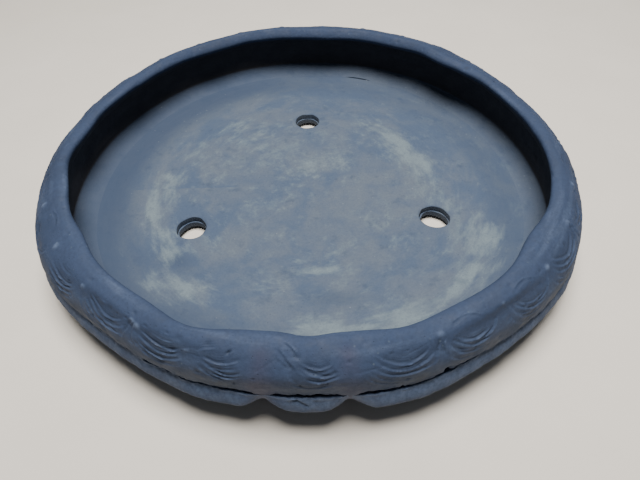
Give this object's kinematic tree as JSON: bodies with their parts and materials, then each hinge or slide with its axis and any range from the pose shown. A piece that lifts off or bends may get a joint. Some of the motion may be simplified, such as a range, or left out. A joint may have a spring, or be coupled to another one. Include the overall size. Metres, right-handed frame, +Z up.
{
  "type": "bonsai pot",
  "caption": "Shallow round unglazed clay bonsai pot with a leaning rim, carved wave wall, scalloped skirt band and drain holes in a flat floor.",
  "frame": {"origin": "centre of the pot's footprint, on the ground", "axes": "+Z up out of the mouth; -Y towards the front, where one short skirt lobe sits; +X to the right as seen from the front"},
  "size_m": [0.328, 0.328, 0.0502],
  "materials": {
    "floor_clay": "matt unglazed fired clay, worn and wiped with a pale film",
    "wall_clay": "matt unglazed blue-grey fired clay, carved",
    "rim_clay": "matt unglazed blue-grey fired clay, rubbed smooth",
    "skirt_clay": "matt unglazed blue-grey fired clay, finger-smoothed"
  },
  "bodies": {
    "root": {"floor_lower_layer": "floor_clay", "floor_upper_layer": "floor_clay", "base_coil": "wall_clay", "wall_coil": "wall_clay", "rim_coil": "rim_clay", "skirt_lobe_front": "skirt_clay", "skirt_lobe_right": "skirt_clay", "skirt_lobe_left": "skirt_clay", "skirt_band_right": "skirt_clay", "skirt_band_back": "skirt_clay", "skirt_band_left": "skirt_clay"}
  },
  "joints": []
}
